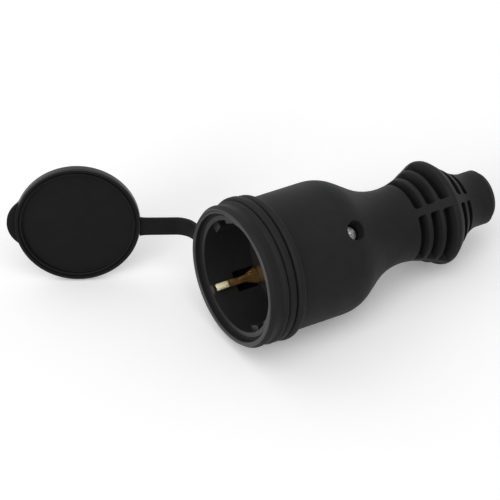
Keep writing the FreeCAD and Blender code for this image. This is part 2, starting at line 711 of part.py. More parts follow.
def build_headed_screw(label, head, shank, placement, drive=True):
    """A pan-head screw along X: the head's underside at zero, its crown outward."""
    head_radius, head_height = head
    shank_radius, length = shank
    body = new_body(label)
    profile = new_sketch(body, "profile", "XZ_Plane")
    add_polygon(profile, [
        (f"-({length})", "0"),
        (f"-({length})", shank_radius),
        ("0", shank_radius),
        ("0", head_radius),
        (head_height, head_radius),
        (head_height, "0"),
    ])
    revolve(body, profile)
    round_circles(body, "crown", "dim.head_round", [(head_height, head_radius)])
    recess = new_sketch(body, "cross", "YZ_Plane", head_height)
    arm = f"({head_radius} * dim.drive_share)"
    half = "(dim.drive_width / 2)"
    add_polygon(recess, [
        (half, arm), (f"-{half}", arm), (f"-{half}", half), (f"-{arm}", half),
        (f"-{arm}", f"-{half}"), (f"-{half}", f"-{half}"), (f"-{half}", f"-{arm}"), (half, f"-{arm}"),
        (half, f"-{half}"), (arm, f"-{half}"), (arm, half), (half, half),
    ])
    pocket(body, recess, "dim.drive_depth")
    place(body, placement)


def build_screws():
    build_headed_screw(
        "body_screw",
        ("dim.screw_head_radius", "dim.screw_head_height"),
        ("dim.screw_radius", "dim.screw_length"),
        f"{CLOCKED} * {at(SCREW_X, '0', SCREW_SEAT, '0; 1; 0', '-90')}")
    face_x = f"({FLOOR_X} + dim.face_screw_head_height)"
    for label, side in (("face_screw_lower", ""), ("face_screw_upper", "-")):
        y = f"{side}dim.face_screw_y"
        z = f"{side}(-dim.face_screw_z)"
        build_headed_screw(
            label,
            ("dim.face_screw_head_radius", "dim.face_screw_head_height"),
            ("dim.face_screw_radius", "dim.face_screw_length"),
            f"{CLOCKED} * {at(face_x, y, z, '0; 0; 1', '180')}")
    clamp_top = "(dim.clamp_seat + dim.clamp_thickness)"
    for label, side in (("clamp_screw_left", ""), ("clamp_screw_right", "-")):
        build_headed_screw(
            label,
            ("dim.clamp_head_radius", "dim.clamp_head_height"),
            ("dim.clamp_screw_radius", "dim.clamp_screw_length"),
            f"{CLOCKED} * {at(CLAMP_X, f'{side}dim.clamp_screw_y', clamp_top, '0; 1; 0', '-90')}")

    bush = new_body("screw_bush")
    bush_bottom = f"{CARRIER_RADIUS} - dim.bush_inset - dim.bush_length"
    ring = new_sketch(bush, "ring", "XY_Plane", bush_bottom)
    add_circle(ring, SCREW_X, "0", "dim.screw_radius + dim.set_screw_gap + dim.bush_wall")
    add_circle(ring, SCREW_X, "0", "dim.screw_radius + dim.set_screw_gap")
    pad(bush, ring, "dim.bush_length")
    place(bush, CLOCKED)


def build_cord_clamp():
    """An arched saddle that rests on the tongue's two bosses."""
    body = new_body("cord_clamp")
    seat = "dim.clamp_seat"
    top = "(dim.clamp_seat + dim.clamp_thickness)"
    arch = "(dim.clamp_seat + dim.clamp_arch)"
    crown = "(dim.clamp_seat + dim.clamp_arch + dim.clamp_thickness)"
    inner_foot = "(dim.clamp_screw_y - dim.clamp_head_radius - dim.clamp_thickness / 2)"
    outer_foot = "(dim.clamp_screw_y - dim.clamp_head_radius - dim.screw_gap)"
    right = [
        (inner_foot, seat),
        (CLAMP_REACH, seat),
        (CLAMP_REACH, top),
        (outer_foot, top),
        ("dim.clamp_arch_half_width + dim.clamp_thickness / 2", crown),
    ]
    left = [(f"-({y})", z) for y, z in reversed(right)]
    saddle = new_sketch(body, "saddle", "YZ_Plane", CLAMP_X)
    add_polygon(saddle, right + left + [
        ("-dim.clamp_arch_half_width", arch),
        ("dim.clamp_arch_half_width", arch),
    ])
    pad(body, saddle, "dim.clamp_width", symmetric=True)
    holes = new_sketch(body, "holes", "XY_Plane")
    add_circle(holes, CLAMP_X, "dim.clamp_screw_y", "dim.clamp_screw_radius + dim.screw_gap")
    add_circle(holes, CLAMP_X, "-dim.clamp_screw_y", "dim.clamp_screw_radius + dim.screw_gap")
    pocket(body, holes, reverse=True)
    place(body, CLOCKED)


def build_tether_ring():
    """The loop in the collar's channel, drawn towards the strap by its pull."""
    body = new_body("tether_ring")
    loop = new_sketch(body, "loop", "YZ_Plane", "dim.collar_length + dim.ring_gap")
    add_circle(loop, RING_PULL, "0", RING_OUTER)
    add_circle(loop, RING_PULL, "0", RING_INNER)
    pad(body, loop, "dim.channel_width - 2 * dim.ring_gap")
    place(body, TETHERED)


def build_cap_strap():
    """The flexible strap: straight out of the ring, one round bend, straight on to the cap."""
    body = new_body("cap_strap")
    half = "(dim.strap_thickness / 2)"
    mitre = f"({half} * tan(dim.open_bend / 2))"
    end_x = f"({RING_X} - {STRAP_RUN} * sin(dim.open_bend))"
    end_y = f"({BEND_Y} + {STRAP_RUN} * cos(dim.open_bend))"
    across_x = f"{half} * cos(dim.open_bend)"
    across_y = f"{half} * sin(dim.open_bend)"
    outline = new_sketch(body, "outline", "XY_Plane")
    add_polygon(outline, [
        (f"{RING_X} + {half}", STRAP_ROOT_Y),
        (f"{RING_X} + {half}", f"{BEND_Y} + {mitre}"),
        (f"{end_x} + {across_x}", f"{end_y} + {across_y}"),
        (f"{end_x} - {across_x}", f"{end_y} - {across_y}"),
        (f"{RING_X} - {half}", f"{BEND_Y} - {mitre}"),
        (f"{RING_X} - {half}", STRAP_ROOT_Y),
    ])
    pad(body, outline, "dim.strap_width", symmetric=True)
    for name, side in (("inner_bend", "-"), ("outer_bend", "+")):
        base = body.Tip
        corner_x = value(f"{RING_X} {side} {half}")
        corner_y = value(f"{BEND_Y} {side} {mitre}")
        edges = [
            f"Edge{number}" for number, edge in enumerate(base.Shape.Edges, start=1)
            if all(abs(v.X - corner_x) + abs(v.Y - corner_y) < TOLERANCE for v in edge.Vertexes)
        ]
        bend = body.newObject("PartDesign::Fillet", f"cap_strap_{name}")
        bend.Base = (base, edges)
        bend.setExpression("Radius", f"dim.strap_bend_radius {side} {half}")
        doc.recompute()
    place(body, f"{TETHERED} * {at('0', '0', '-dim.strap_shift')}")


def build_protective_cap():
    """The cap: a shallow dish, open towards +X, with a groove round its rim and a pull tab at -Y."""
    body = new_body("protective_cap")
    rim_inner = f"({CAP_RADIUS} - dim.cap_rim_wall)"
    groove_outer = f"({CAP_RADIUS} - dim.cap_groove_inset)"
    groove_inner = f"({groove_outer} - dim.cap_groove_width)"
    groove_floor = "(dim.cap_rim_depth - dim.cap_groove_depth)"
    disc = new_sketch(body, "disc", "XZ_Plane")
    add_polygon(disc, [
        ("-dim.strap_thickness", "0"),
        ("-dim.strap_thickness", CAP_RADIUS),
        ("dim.cap_rim_depth", CAP_RADIUS),
        ("dim.cap_rim_depth", groove_outer),
        (groove_floor, groove_outer),
        (groove_floor, groove_inner),
        ("dim.cap_rim_depth", groove_inner),
        ("dim.cap_rim_depth", rim_inner),
        ("0", rim_inner),
        ("0", "0"),
    ])
    revolve(body, disc)
    round_circles(body, "edges", "dim.cap_round", [
        ("-dim.strap_thickness", CAP_RADIUS),
        ("dim.cap_rim_depth", CAP_RADIUS),
        ("dim.cap_rim_depth", rim_inner),
    ])
    tab = new_sketch(body, "tab", "YZ_Plane", "-dim.strap_thickness")
    add_circle(tab, f"-({CAP_RADIUS} + dim.tab_reach - dim.tab_radius)", "0", "dim.tab_radius")
    pad(body, tab, "dim.strap_thickness")
    plane_offset = "(dim.hinge_x + dim.cap_lift)"
    centre_x = f"dim.hinge_x - dim.hinge_radius * sin(dim.open_bend) + {plane_offset} * cos(dim.open_bend)"
    centre_y = f"dim.hinge_radius * (1 + cos(dim.open_bend)) + {plane_offset} * sin(dim.open_bend)"
    place(body, f"{TETHERED} * {at(centre_x, centre_y, '0', '0; 0; 1', '180 + dim.open_bend')}")


def write_parts():
    """Check every object, then write one file per piece."""
    doc.recompute()
    failed = [item.Name for item in doc.Objects if {"Invalid", "Error"} & set(item.State)]
    failed += [body.Label for body in bodies if body.Shape.isNull() or not body.Shape.isValid()]
    if failed:
        raise RuntimeError(f"failed: {failed}")
    os.makedirs("parts", exist_ok=True)
    for body in bodies:
        body.Shape.exportStep(f"parts/{body.Label}.step")
        print(body.Label, len(body.Shape.Solids), round(body.Shape.Volume, 1))


build_rubber_body()
build_socket_insert()
build_contact_carrier()
build_terminals()
build_earth_strip()
build_screws()
build_cord_clamp()
build_tether_ring()
build_cap_strap()
build_protective_cap()
write_parts()
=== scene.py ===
"""Looks of the inline socket connector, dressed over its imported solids.

Lengths are in millimetres until a mesh is made. Pieces are shaped about the connector's own axis, X,
with the lip at the origin, or about an axis of their own, and a placement then lays them as the
solids lie.
"""
import json
import math

import bmesh
import bpy
import numpy as np
from mathutils import Matrix, Vector

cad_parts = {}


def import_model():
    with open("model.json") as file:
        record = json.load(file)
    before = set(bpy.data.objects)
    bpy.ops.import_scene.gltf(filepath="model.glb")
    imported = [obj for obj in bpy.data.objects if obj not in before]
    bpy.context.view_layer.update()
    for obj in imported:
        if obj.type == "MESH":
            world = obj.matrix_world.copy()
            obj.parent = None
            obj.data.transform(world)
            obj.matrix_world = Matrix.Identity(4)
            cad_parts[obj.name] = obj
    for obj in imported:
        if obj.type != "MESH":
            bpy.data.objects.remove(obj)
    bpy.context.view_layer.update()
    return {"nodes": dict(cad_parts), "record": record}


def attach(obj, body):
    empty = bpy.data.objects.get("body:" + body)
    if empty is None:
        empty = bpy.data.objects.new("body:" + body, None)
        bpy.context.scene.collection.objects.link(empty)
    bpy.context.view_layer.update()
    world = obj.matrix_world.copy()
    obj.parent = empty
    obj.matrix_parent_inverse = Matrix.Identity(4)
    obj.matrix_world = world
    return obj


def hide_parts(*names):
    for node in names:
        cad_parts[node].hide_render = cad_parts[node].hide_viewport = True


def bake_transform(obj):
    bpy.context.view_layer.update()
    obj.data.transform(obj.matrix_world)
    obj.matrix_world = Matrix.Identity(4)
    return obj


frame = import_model()

MM = 0.001
MERGE_DISTANCE = 1e-7
MOUNTS = {mount["name"]: mount for mount in frame["record"]["mounts"]}
MOUTH_AXIS = MOUNTS["plug_recess"]["axis"]
CLOCK_ANGLE = math.radians(42.7)
STRAP_ANGLE = math.radians(-7.7)
LYING = Matrix.Rotation(math.atan2(MOUTH_AXIS[2], -MOUTH_AXIS[0]), 4, "Y")
CLOCKED = LYING @ Matrix.Rotation(CLOCK_ANGLE, 4, "X")
TETHERED = LYING @ Matrix.Rotation(STRAP_ANGLE, 4, "X")

# Rubber body: corners of its closed profile, each a station, a radius and a corner round
CUP_BORE = 20.3
CUP_REAR = 22.0
CAP_SEAT = 21.3
FACE_X = 2.0
FACE_ROUND = 0.1
LIP_ROUND = 0.45
BARREL = 22.45
COLLAR = 23.8
CHANNEL_FRONT = 7.0
CHANNEL_REAR = 10.4
CHANNEL_FLOOR = 21.6
FLANGE = 24.2
FLANGE_REAR = 13.2
FLANGE_FILLET = 0.12
TAIL_END = 99.6
CABLE_BORE = 4.6
FRONT_CORNERS = [
    (FACE_X, CAP_SEAT, 0.15),
    (0.0, CAP_SEAT, LIP_ROUND),
    (0.0, 22.6, 0.5),
    (1.6, 23.7, 0.8),
    (4.7, 23.05, 1.0),
    (5.8, COLLAR, 0.6),
    (CHANNEL_FRONT, COLLAR, 1.0),
    (CHANNEL_FRONT, CHANNEL_FLOOR, 0.25),
    (CHANNEL_REAR, CHANNEL_FLOOR, 0.25),
    (CHANNEL_REAR, FLANGE, 1.3),
    (FLANGE_REAR, FLANGE, 1.2),
    (FLANGE_REAR, BARREL, FLANGE_FILLET),
]
REAR_CORNERS = [
    (38.7, BARREL, 13.9),
    (57.3, 10.6, 25.3),
    (70.5, 14.3, 12.0),
    (78.4, 17.84, 1.3),
    (88.7, 9.87, 16.0),
    (TAIL_END, 8.15, 1.3),
    (TAIL_END, CABLE_BORE, 0.5),
]
INNER_CORNERS = [
    (60.5, CABLE_BORE, 0.0),
    (55.5, 9.35, 0.0),
    (47.2, 9.35, 0.0),
    (47.2, 13.7, 0.0),
    (CUP_REAR, 13.7, 0.0),
    (CUP_REAR, CUP_BORE, 0.0),
    (FACE_X, CUP_BORE, FACE_ROUND),
]

# Moulded grooves round the bulb, between its four ribs, each a station, a width and a depth.
# They are steep towards the mouth and sloped towards the tail.
GROOVES = [(66.9, 2.8, 4.0), (71.2, 2.9, 4.4), (75.4, 3.3, 4.8), (82.3, 2.6, 3.0), (86.6, 2.0, 2.6)]
GROOVED_FROM = 64.0
GROOVED_TO = 89.5
LEAST_OUTER_RADIUS = 9.0
GROOVE_EDGE = 0.12
GROOVE_CORNER = 1.25
STEEP_RUN = 0.4
SLOPE_SHARE = 0.36
RIB_ANGLE = math.radians(11.5)
RIBS = 4

# The body screw's deep hole, let into a patch of the body's grid
SCREW_X = 36.65
SCREW_SEAT = 15.2
SCREW_HOLE = 3.2
SCREW_HOLE_ROUND = 0.45
SHANK_HOLE = 1.95
SHANK_HOLE_DEPTH = 0.9
PATCH_REACH = 5.6
PATCH_FROM = math.radians(74)
PATCH_TO = math.radians(106)

# The body's grid: spacing of its columns round the axis and of its stations along it
EVEN_COLUMNS = 144
COLUMN_GAP = math.radians(1.2)
BARREL_STEP = 2.6
FINE_STEP = 0.8
BULB_STEP = 0.62
BULB_FROM = 63.9
BULB_TO = 90.0
LEAST_STEP = 0.06
TAIL_EDGE = 98.0


def rounded(corners, closed=False, step=math.radians(7)):
    """A fine outline through corners (u, v, round), each turned on an arc of its own radius."""
    outline = []
    count = len(corners)
    for index, (u, v, radius) in enumerate(corners):
        corner = np.array([u, v], float)
        if radius == 0 or (not closed and index in (0, count - 1)):
            outline.append(corner)
            continue
        back = np.array(corners[index - 1][:2], float) - corner
        ahead = np.array(corners[(index + 1) % count][:2], float) - corner
        back /= np.linalg.norm(back)
        ahead /= np.linalg.norm(ahead)
        turn = math.pi - math.acos(max(-1.0, min(1.0, float(back @ ahead))))
        middle = (back + ahead) / np.linalg.norm(back + ahead)
        centre = corner + middle * radius / math.cos(turn / 2)
        arm = corner + back * radius * math.tan(turn / 2) - centre
        side = -np.sign(back[0] * ahead[1] - back[1] * ahead[0])
        pieces = max(2, math.ceil(turn / step))
        for piece in range(pieces + 1):
            angle = side * turn * piece / pieces
            c, s = math.cos(angle), math.sin(angle)
            outline.append(centre + np.array([c * arm[0] - s * arm[1], s * arm[0] + c * arm[1]]))
    return np.array(outline)


def smooth(t):
    """A step from 0 to 1 as t goes from 0 to 1, level at both ends."""
    t = np.clip(t, 0, 1)
    return t * t * t * (t * (6 * t - 15) + 10)


def grid_faces(rows, columns, wrap_rows=False, skip=None):
    """Quads of a grid whose vertices run round each row, column by column."""
    faces = []
    for i in range(rows if wrap_rows else rows - 1):
        for j in range(columns):
            if skip and skip(i, j):
                continue
            k, m = (i + 1) % rows, (j + 1) % columns
            faces.append((i * columns + j, i * columns + m, k * columns + m, k * columns + j))
    return faces


def close_ends(points, faces, columns, ends):
    """Fans from rows of a grid to the axis; each end is a row and the station of its middle."""
    for row, x in ends:
        middle = len(points)
        points.append((x, 0.0, 0.0))
        faces += [(row * columns + j, row * columns + (j + 1) % columns, middle) for j in range(columns)]


def make_piece(name, points, faces, matrix, material, body, nodes, crease=35, blend=None, wear_and_painted_light=()):
    """A smooth-shaded piece from points in millimetres, riding on a body and standing for CAD nodes.

    Each pair of second finishes is a finish and a test of the face centres that have it; the finishes are
    worn sheen, painted shade and painted highlight.
    """
    mesh = bpy.data.meshes.new(name)
    mesh.from_pydata([Vector(p) * MM for p in points], [], faces)
    mesh.materials.append(material)
    for index, (finish, has_finish) in enumerate(wear_and_painted_light, start=1):
        mesh.materials.append(finish)
        for polygon in mesh.polygons:
            if has_finish(polygon.center / MM):
                polygon.material_index = index
    mesh.transform(matrix)
    cleaner = bmesh.new()
    cleaner.from_mesh(mesh)
    bmesh.ops.remove_doubles(cleaner, verts=cleaner.verts, dist=MERGE_DISTANCE)
    bmesh.ops.dissolve_degenerate(cleaner, edges=cleaner.edges, dist=MERGE_DISTANCE)
    bmesh.ops.recalc_face_normals(cleaner, faces=cleaner.faces)
    cleaner.to_mesh(mesh)
    cleaner.free()
    mesh.polygons.foreach_set("use_smooth", [True] * len(mesh.polygons))
    mesh.set_sharp_from_angle(angle=math.radians(crease))
    piece = bpy.data.objects.new(name, mesh)
    bpy.context.scene.collection.objects.link(piece)
    if blend:
        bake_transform(piece)
    else:
        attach(piece, body)
    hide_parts(*nodes)


def lathe(profile, columns=160, centre=(0.0, 0.0)):
    """A closed profile of stations and radii turned about an axis along X."""
    angles = np.linspace(0, 2 * math.pi, columns, endpoint=False)
    points = [
        (x, centre[0] + r * math.cos(a), centre[1] + r * math.sin(a))
        for x, r in profile for a in angles
    ]
    return points, grid_faces(len(profile), columns, wrap_rows=True)


# Materials

def new_material(name):
    material = bpy.data.materials.new(name)
    material.use_nodes = True
    tree = material.node_tree
    shader = tree.nodes["Principled BSDF"]
    return material, tree, shader


def add_node(tree, kind, inputs=None, **settings):
    node = tree.nodes.new(kind)
    for key, setting in settings.items():
        setattr(node, key, setting)
    for key, setting in (inputs or {}).items():
        node.inputs[key].default_value = setting
    return node


def ramp(tree, source, stops):
    node = add_node(tree, "ShaderNodeValToRGB")
    elements = node.color_ramp.elements
    while len(elements) < len(stops):
        elements.new(0.5)
    for element, (position, colour) in zip(elements, stops):
        element.position = position
        element.color = (*colour, 1.0)
    tree.links.new(source, node.inputs["Fac"])
    return node.outputs["Color"]


def grey(level):
    """A grey with a trace of blue."""
    return (level, level, level * 1.03)


def noise(tree, place, scale, detail, roughness=0.55):
    node = add_node(tree, "ShaderNodeTexNoise", {"Scale": scale, "Detail": detail, "Roughness": roughness})
    tree.links.new(place, node.inputs["Vector"])
    return node.outputs["Fac"]


def bump(tree, height, distance, strength, base=None):
    node = add_node(tree, "ShaderNodeBump", {"Distance": distance, "Strength": strength})
    tree.links.new(height, node.inputs["Height"])
    if base:
        tree.links.new(base, node.inputs["Normal"])
    return node.outputs["Normal"]


def moulded(name, dark, light, rough, specular, grain):
    """Black rubber or plastic: a fine moulded grain, faint mottling and uneven sheen."""
    material, tree, shader = new_material(name)
    place = add_node(tree, "ShaderNodeTexCoord").outputs["Object"]
    mottle = noise(tree, place, scale=260.0, detail=6.0, roughness=0.6)
    colour = ramp(tree, mottle, [(0.3, grey(dark)), (0.75, grey(light))])
    tree.links.new(colour, shader.inputs["Base Color"])
    patches = noise(tree, place, scale=90.0, detail=3.0)
    sheen = ramp(tree, patches, [(0.25, grey(rough[0])), (0.8, grey(rough[1]))])
    tree.links.new(sheen, shader.inputs["Roughness"])
    shader.inputs["Specular IOR Level"].default_value = specular
    fine_height = noise(tree, place, scale=5200.0, detail=3.0, roughness=0.6)
    fine = bump(tree, fine_height, distance=0.00002, strength=grain)
    soft_height = noise(tree, place, scale=330.0, detail=2.0)
    soft = bump(tree, soft_height, distance=0.00006, strength=0.18, base=fine)
    tree.links.new(soft, shader.inputs["Normal"])
    return material


def metal(name, dull, bright, rough, streak_scale):
    """Metal with fine streaks that vary its colour, sheen and surface."""
    material, tree, shader = new_material(name)
    place = add_node(tree, "ShaderNodeTexCoord").outputs["Object"]
    mapping = add_node(tree, "ShaderNodeMapping", {"Scale": streak_scale})
    tree.links.new(place, mapping.inputs["Vector"])
    streaks = noise(tree, mapping.outputs["Vector"], scale=1.0, detail=5.0, roughness=0.65)
    colour = ramp(tree, streaks, [(0.3, dull), (0.65, bright)])
    tree.links.new(colour, shader.inputs["Base Color"])
    sheen = ramp(tree, streaks, [(0.3, grey(rough[1])), (0.7, grey(rough[0]))])
    tree.links.new(sheen, shader.inputs["Roughness"])
    shader.inputs["Metallic"].default_value = 1.0
    surface = bump(tree, streaks, distance=0.00003, strength=0.25)
    tree.links.new(surface, shader.inputs["Normal"])
    return material


ALONG_X = (900.0, 2600.0, 2600.0)
ALL_WAYS = (1800.0, 1800.0, 1800.0)
RUBBER = moulded("black_rubber", 0.0125, 0.0160, (0.54, 0.66), 0.12, 0.35)
CAP_RUBBER = moulded("cap_rubber", 0.0066, 0.0088, (0.54, 0.66), 0.10, 0.35)
RUBBED_RUBBER = moulded("rubbed_rubber", 0.0125, 0.0160, (0.30, 0.38), 0.45, 0.15)
RUBBED_CAP = moulded("rubbed_cap_rubber", 0.0066, 0.0088, (0.36, 0.44), 0.30, 0.15)
# Painted shade: a near-black rubber for the body's bore, darkened for the shade that falls deep inside the
# body
PAINTED_SHADE_RUBBER = moulded("painted_shade_bore_rubber", 0.0030, 0.0040, (0.70, 0.80), 0.05, 0.35)
PLASTIC = moulded("black_insert_plastic", 0.0150, 0.0190, (0.34, 0.44), 0.40, 0.15)
BRASS = metal("brass", (0.42, 0.21, 0.062), (0.78, 0.455, 0.175), (0.24, 0.42), ALONG_X)
# Painted highlight: a near-white brass for the clip tips, whose colour stands in for their glint
PAINTED_GLINT_BRASS = metal("painted_glint_brass", (0.92, 0.78, 0.46), (0.99, 0.92, 0.66), (0.26, 0.40), ALONG_X)
# Painted light: a lighter copy of the plated steel for the body screw's head, whose lighter colour stands in
# for light down its deep hole
LIT_SCREW_STEEL = metal("painted_light_screw_steel", (0.66, 0.67, 0.68), (0.97, 0.97, 0.97), (0.40, 0.60), ALL_WAYS)
STEEL = metal("zinc_plated_steel", (0.42, 0.43, 0.44), (0.70, 0.71, 0.72), (0.26, 0.44), ALL_WAYS)


# Rubber body

def groove_depth(x, radius, angle):
    """How deep a point of the bulb lies in a groove, 0 on the surface."""
    sector = 2 * math.pi / RIBS
    from_middle = (angle % sector) - sector / 2
    from_end = radius * (sector - RIB_ANGLE) / 2 - abs(from_middle) * radius + GROOVE_EDGE
    deepest = 0.0
    for station, width, depth in GROOVES:
        from_front = x - (station - width / 2) + GROOVE_EDGE
        from_rear = station + width / 2 + 2 * GROOVE_EDGE - x
        inside = min(from_front, from_end)
        if max(from_front, from_end) < GROOVE_CORNER:
            inside = GROOVE_CORNER - math.hypot(GROOVE_CORNER - from_front, GROOVE_CORNER - from_end)
        share = smooth(inside / STEEP_RUN) * smooth(from_rear / (SLOPE_SHARE * width))
        deepest = max(deepest, depth * float(share))
    return deepest


def body_columns():
    """Even columns, with a cluster at each side of each rib."""
    edge_offsets = np.radians([-2.6, -1.7, -1.05, -0.55, -0.1, 0.35, 0.85, 1.5, 2.4, 3.6])
    clusters = np.concatenate([
        k * 2 * math.pi / RIBS + side * RIB_ANGLE / 2 + side * edge_offsets
        for k in range(RIBS) for side in (-1, 1)
    ])
    clusters = np.mod(clusters, 2 * math.pi)
    even = np.linspace(0, 2 * math.pi, EVEN_COLUMNS, endpoint=False)
    gap = np.abs((even[:, None] - clusters[None, :] + math.pi) % (2 * math.pi) - math.pi).min(1)
    rib_middles = np.arange(RIBS) * 2 * math.pi / RIBS
    return np.unique(np.round(np.concatenate([clusters, even[gap > COLUMN_GAP], rib_middles]), 6))


def body_stations(first, last):
    """Stations along the barrel, shoulder, bulb and tail, close together where the form turns."""
    margin = 0.4
    patch = np.arange(SCREW_X - PATCH_REACH, SCREW_X + PATCH_REACH + 0.01, FINE_STEP)
    stations = [
        np.arange(first + 1.5, patch[0] - 1.0, BARREL_STEP),
        patch,
        np.arange(patch[-1] + FINE_STEP, BULB_FROM - margin, FINE_STEP),
        np.arange(BULB_FROM, BULB_TO, BULB_STEP),
        np.arange(BULB_TO + margin, last - 0.2, FINE_STEP),
    ]
    edge_offsets = np.array([0.36, 0.22, 0.1, 0.0, -0.1, -0.2, -0.3, -0.42, -0.56, -0.75])
    for station, width, _ in GROOVES:
        stations += [station - width / 2 - edge_offsets, station + width / 2 + edge_offsets]
    merged = np.unique(np.round(np.concatenate(stations), 4))
    kept = [merged[0]]
    for station in merged[1:]:
        if station - kept[-1] > LEAST_STEP:
            kept.append(station)
    return np.array(kept), patch


def by_station(outline):
    """Stations and radii of an outline that runs one way along X."""
    order = np.argsort(outline[:, 0])
    return outline[order, 0], outline[order, 1]


def build_body():
    """One closed skin: the outside with its grooves and screw hole, and the hollow inside."""
    outline = rounded(FRONT_CORNERS + REAR_CORNERS + INNER_CORNERS, closed=True)
    on_barrel = np.abs(outline[:, 1] - BARREL) < 1e-6
    behind_flange = outline[:, 0] > FLANGE_REAR + 0.9 * FLANGE_FILLET
    start = int(np.argmax(on_barrel & behind_flange))
    stop = int(np.argmax(outline[:, 0] > TAIL_EDGE))
    stations, patch = body_stations(outline[start, 0], outline[stop, 0])
    radii = np.interp(stations, *by_station(outline[start:stop]))
    rows = np.concatenate([outline[:start + 1], np.column_stack([stations, radii]), outline[stop:]])
    angles = body_columns()
    columns = len(angles)
    points = []
    for x, r in rows:
        on_bulb = GROOVED_FROM < x < GROOVED_TO and r > LEAST_OUTER_RADIUS
        for angle in angles:
            radius = r - groove_depth(x, r, angle) if on_bulb else r
            points.append((x, radius * math.cos(angle), radius * math.sin(angle)))

    first_row = start + 1 + int(np.argmin(np.abs(stations - patch[0])))
    last_row = start + 1 + int(np.argmin(np.abs(stations - patch[-1])))
    first_column = int(np.argmin(np.abs(angles - PATCH_FROM)))
    last_column = int(np.argmin(np.abs(angles - PATCH_TO)))

    def in_patch(i, j):
        return first_row <= i < last_row and first_column <= j < last_column

    faces = grid_faces(len(rows), columns, wrap_rows=True, skip=in_patch)
    loop = [first_row * columns + j for j in range(first_column, last_column)]
    loop += [i * columns + last_column for i in range(first_row, last_row)]
    loop += [last_row * columns + j for j in range(last_column, first_column, -1)]
    loop += [i * columns + first_column for i in range(last_row, first_row, -1)]

    def surface(x, y):
        return math.sqrt(np.interp(x, stations, radii) ** 2 - y * y)

    def ring(place):
        """One more loop of vertices towards the hole's middle."""
        fresh = []
        for index in loop:
            px, py = points[index][0] - SCREW_X, points[index][1]
            fresh.append(place(px, py))
        base = len(points)
        points.extend(fresh)
        return list(range(base, base + len(fresh)))

    def on_surface(share):
        def place(px, py):
            reach = math.hypot(px, py)
            rim = SCREW_HOLE + SCREW_HOLE_ROUND
            scale = (reach + (rim - reach) * share) / reach
            x, y = SCREW_X + px * scale, py * scale
            return (x, y, surface(x, y))
        return place

    def down_hole(radius, drop=None, depth=None):
        def place(px, py):
            reach = math.hypot(px, py)
            x, y = SCREW_X + px / reach * radius, py / reach * radius
            return (x, y, surface(x, y) - drop if depth is None else depth)
        return place

    seat_round, seat_ease = 0.3, 0.09
    steps = [on_surface(share) for share in (0.2, 0.4, 0.58, 0.74, 0.88, 1.0)]
    for turn in np.radians([15, 30, 45, 60, 75, 90]):
        steps.append(down_hole(SCREW_HOLE + SCREW_HOLE_ROUND * (1 - math.sin(turn)),
                               drop=SCREW_HOLE_ROUND * (1 - math.cos(turn))))
    steps += [down_hole(SCREW_HOLE, depth=SCREW_SEAT + rise) for rise in (3.6, 1.8, seat_round)]
    steps += [
        down_hole(SCREW_HOLE - seat_ease, depth=SCREW_SEAT + seat_ease),
        down_hole(SCREW_HOLE - seat_round, depth=SCREW_SEAT),
        down_hole(SHANK_HOLE, depth=SCREW_SEAT),
        down_hole(SHANK_HOLE, depth=SCREW_SEAT - SHANK_HOLE_DEPTH),
    ]
    outer = loop
    for place in steps:
        inner = ring(place)
        size = len(inner)
        faces += [(outer[k], outer[(k + 1) % size], inner[(k + 1) % size], inner[k]) for k in range(size)]
        outer = inner
    middle = len(points)
    points.append((SCREW_X, 0.0, SCREW_SEAT - SHANK_HOLE_DEPTH))
    faces += [(outer[k], outer[(k + 1) % len(outer)], middle) for k in range(len(outer))]

    def on_lip(p):
        return p.x < LIP_ROUND

    # The bore's inner faces take the near-black rubber: painted shade for the dark inside of the body
    def in_shaded_bore(p):
        return FACE_X + FACE_ROUND < p.x < CUP_REAR + 0.1 and math.hypot(p.y, p.z) < CUP_BORE + 0.01

    make_piece("rubber_body_skin", points, faces, CLOCKED, RUBBER, "connector", ["rubber_body"],
               wear_and_painted_light=[(RUBBED_RUBBER, on_lip), (PAINTED_SHADE_RUBBER, in_shaded_bore)])


def build_ring():
    """The tether's loop in the channel, drawn towards the strap."""
    inner, outer = 22.6, 24.25
    gap, crown, inner_round = 0.08, 1.2, 0.3
    drawn = 0.8
    front, rear = CHANNEL_FRONT + gap, CHANNEL_REAR - gap
    section = rounded([
        (front, inner, inner_round), (front, outer, crown), (rear, outer, crown), (rear, inner, inner_round),
    ], closed=True)
    points, faces = lathe(section, centre=(drawn, 0.0))
    make_piece("tether_loop", points, faces, TETHERED, RUBBER, "connector", ["tether_ring"])


# Strap and cap: places in the tether's own X-Y plane
HINGE = np.array([4.7, 34.9])
OPEN_BEND = math.radians(57.8)
CAP_LIFT = 0.4
CAP_RADIUS = 20.6
STRAP_THICKNESS = 1.6
STRAP_WIDTH = 6.1
STRAP_SHIFT = 1.85
RING_X = (CHANNEL_FRONT + CHANNEL_REAR) / 2
TOWARDS_CAP = np.array([-math.sin(OPEN_BEND), math.cos(OPEN_BEND)])
CAP_NORMAL = np.array([-math.cos(OPEN_BEND), -math.sin(OPEN_BEND)])
CAP_CENTRE = HINGE + HINGE[1] * TOWARDS_CAP - (HINGE[0] + CAP_LIFT) * CAP_NORMAL


